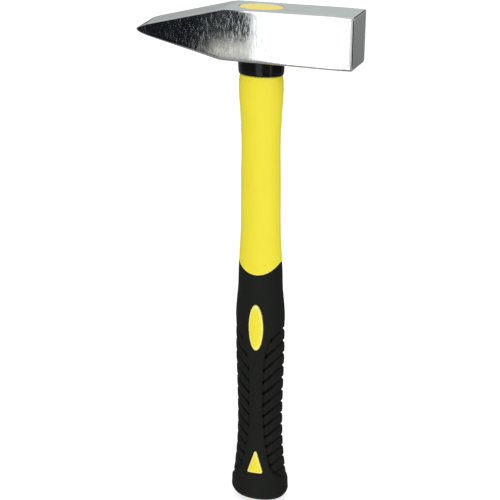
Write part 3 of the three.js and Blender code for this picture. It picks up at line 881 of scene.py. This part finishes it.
# What the gloss mirrors: a dark room with a grey back wall and these patches, each given as
# its azimuths, its elevations, how soft its edges are in degrees, and its colour.
COOL, WARM = (0.95, 1.02, 0.99), (1.03, 1.01, 0.90)
DARK = grey(0.012, (0.85, 1.0, 1.25))
BACK_LOW, BACK_HIGH = grey(0.20, (1.0, 1.03, 0.97)), grey(0.62, COOL)
BACK_AZIMUTHS, BACK_ELEVATIONS = (85, 115), (-16, 14)   # where the wall fades in and brightens
ALL_HEIGHTS = (-58, 6)
REFLECTIONS = (
    # the room above and below the height that the head mirrors, its left side, top and bottom
    ((-120, 120), (-6, 60), 3, grey(0.42)),
    ((-120, 120), (-60, -18.2), 2.4, grey(0.28)),
    ((-120, -33), (-18.5, -5), 3, grey(0.22)),
    ((-200, 200), (45, 120), 20, grey(0.75)),
    ((-200, 200), (-120, -50), 20, grey(0.3)),
    # in front: the step from dark to light along the cheek, with a lighter patch at its foot
    ((-20.2, -18.8), ALL_HEIGHTS, 0.8, grey(0.04, (0.85, 1.0, 1.1))),
    ((-20.0, -18.4), (-40, -12.88), 0.75, grey(0.98, WARM)),
    ((-20.4, -18.4), (-40, -13.2), 0.3, grey(0.42, WARM)),
    ((-21.6, -18.6), (-60, -16.5), 1.5, grey(0.40, WARM)),
    # in front: the large soft box, and the boxes and the narrow light to its right
    ((-18.78, 1), (-58, 30), 0.25, grey(1.6)),
    ((1, 34), ALL_HEIGHTS, 1, grey(0.2)),
    ((-13.5, 4), (-14, 6), 0.3, grey(0.95)),
    ((4, 34), (-15, 6), 0.3, grey(0.5)),
    ((34.5, 39.5), ALL_HEIGHTS, 1.5, grey(2.2)),
    # to the right: grey, with the darkness that the striking face's edges mirror
    ((84, 150), (-45, 25), 5, grey(0.35)),
    ((84, 114), (-18, -11), 1, grey(0.02)),
    ((148, 177), (5, 32), 2, grey(0.05)),
    # to the left: grey, with the darkness that the pein's nose and corners mirror
    ((-130, -84), (-45, 25), 5, grey(0.35)),
    ((-115, -31), (-12.9, -11.5), 0.5, DARK),
    ((-174, -130), (-45, -3.5), 3, grey(0.05)),
    # straight behind: light for the handle's rims
    ((171, 200), (-45, -11), 3, grey(1.3)),
    ((-200, -176), (-45, -11), 3, grey(1.3)),
)


def make_camera():
    azimuth, elevation = math.radians(CAMERA_AZIMUTH), math.radians(CAMERA_ELEVATION)
    back = Vector((math.sin(azimuth) * math.cos(elevation),
                   -math.cos(azimuth) * math.cos(elevation), math.sin(elevation)))
    data = bpy.data.cameras.new("camera")
    data.lens = CAMERA_LENS
    data.sensor_width = 36
    data.shift_x, data.shift_y = CAMERA_SHIFT
    camera = bpy.data.objects.new("camera", data)
    camera.location = Vector(CAMERA_AIM) + back * CAMERA_DISTANCE
    camera.rotation_mode = "QUATERNION"
    level = (-back).to_track_quat("-Z", "Y")
    camera.rotation_quaternion = level @ Quaternion((0, 0, 1), math.radians(CAMERA_ROLL))
    bpy.context.scene.collection.objects.link(camera)
    bpy.context.scene.camera = camera


def make_floor():
    bpy.ops.mesh.primitive_plane_add(size=FLOOR_SIZE)
    floor = bpy.context.object
    floor.name = "floor"
    floor.visible_glossy = False
    floor.visible_diffuse = False
    material, _, _ = new_material("floor_white", Roughness=1.0, Base_Color=grey(FLOOR_TONE),
                                  Specular_IOR_Level=0.0, Emission_Color=grey(1.0),
                                  Emission_Strength=FLOOR_GLOW)
    floor.data.materials.append(material)


def patch(nodes, azimuth, elevation, sides, heights, soft):
    """1 inside a patch of the sky, from sides[0] to sides[1] degrees of azimuth and from
    heights[0] to heights[1] of elevation, with edges that fade over soft degrees."""
    share = None
    for angle, (low, high) in ((azimuth, sides), (elevation, heights)):
        rise = nodes.remap(angle, low - soft / 2, low + soft / 2)
        fall = nodes.remap(angle, high - soft / 2, high + soft / 2, 1.0, 0.0)
        both = nodes.math("MULTIPLY", rise, fall)
        share = both if share is None else nodes.math("MULTIPLY", share, both)
    return share


def make_world():
    """Even studio light. What the gloss mirrors is a dark room with soft boxes in it. Azimuth
    is 0 in front of the hammer and grows towards +X."""
    world = bpy.data.worlds.new("studio")
    bpy.context.scene.world = world
    world.use_nodes = True
    world.cycles.sampling_method = "NONE"
    tree = world.node_tree
    tree.nodes.clear()
    nodes = NodeTree(tree)
    direction = nodes.add("ShaderNodeTexCoord").outputs["Generated"]
    parts = nodes.add("ShaderNodeSeparateXYZ", None, Vector=direction)
    x, y, z = parts.outputs
    to_degrees = 180 / math.pi
    azimuth = nodes.math("MULTIPLY", nodes.math("ARCTAN2", x, nodes.math("MULTIPLY", y, -1.0)),
                         to_degrees)
    elevation = nodes.math("MULTIPLY", nodes.math("ARCSINE", z), to_degrees)

    behind = nodes.remap(nodes.math("ABSOLUTE", azimuth), *BACK_AZIMUTHS)
    back_wall = nodes.mix(nodes.remap(elevation, *BACK_ELEVATIONS, smooth=False), BACK_LOW,
                          BACK_HIGH)
    mirrored = nodes.mix(behind, DARK, back_wall)
    for sides, heights, soft, level in REFLECTIONS:
        share = patch(nodes, azimuth, elevation, sides, heights, soft)
        mirrored = nodes.mix(share, mirrored, level)

    across = nodes.add("ShaderNodeVectorMath", {"operation": "DOT_PRODUCT"}, i0=direction,
                       i1=(math.cos(math.radians(CAMERA_AZIMUTH)),
                           math.sin(math.radians(CAMERA_AZIMUTH)), 0)).outputs["Value"]
    even = nodes.remap(nodes.math("ABSOLUTE", across), 0.0, 1.0, *EVEN_LIGHT, smooth=False)

    path = nodes.add("ShaderNodeLightPath")
    seen = nodes.mix(path.outputs["Is Glossy Ray"], even, mirrored)
    seen = nodes.mix(path.outputs["Is Camera Ray"], seen, (1.0, 1.0, 1.0, 1.0))
    background = nodes.add("ShaderNodeBackground", None, Color=seen, Strength=1.0)
    output = nodes.add("ShaderNodeOutputWorld")
    tree.links.new(background.outputs[0], output.inputs["Surface"])


def main():
    make_camera()
    bpy.context.scene.view_settings.view_transform = "Standard"
    make_world()
    make_floor()

    steel, resin, fibre = brushed_steel(), eye_resin(), fibreglass()
    collar, yellow, rubber = collar_plastic(), yellow_plastic(), grip_rubber()
    finish_piece(make_head(), "head", steel)
    finish_piece(make_eye_resin(), "eye_resin", resin)
    finish_piece(make_core_rod(), "core_rod", fibre)
    finish_piece(make_collar(), "collar", collar)
    finish_piece(make_jacket(), "handle_jacket", yellow)
    finish_piece(make_grip(), "rubber_grip", rubber, sharp_angle=60)
    for place, side in (("front", -1), ("back", 1)):
        for shape, outline in (("oval", oval_outline()), ("triangle", triangle_outline())):
            pad = make_inlay(f"{shape}_pad_{place}", outline, side)
            finish_piece(pad, f"{shape}_inlay_{place}", yellow)


main()
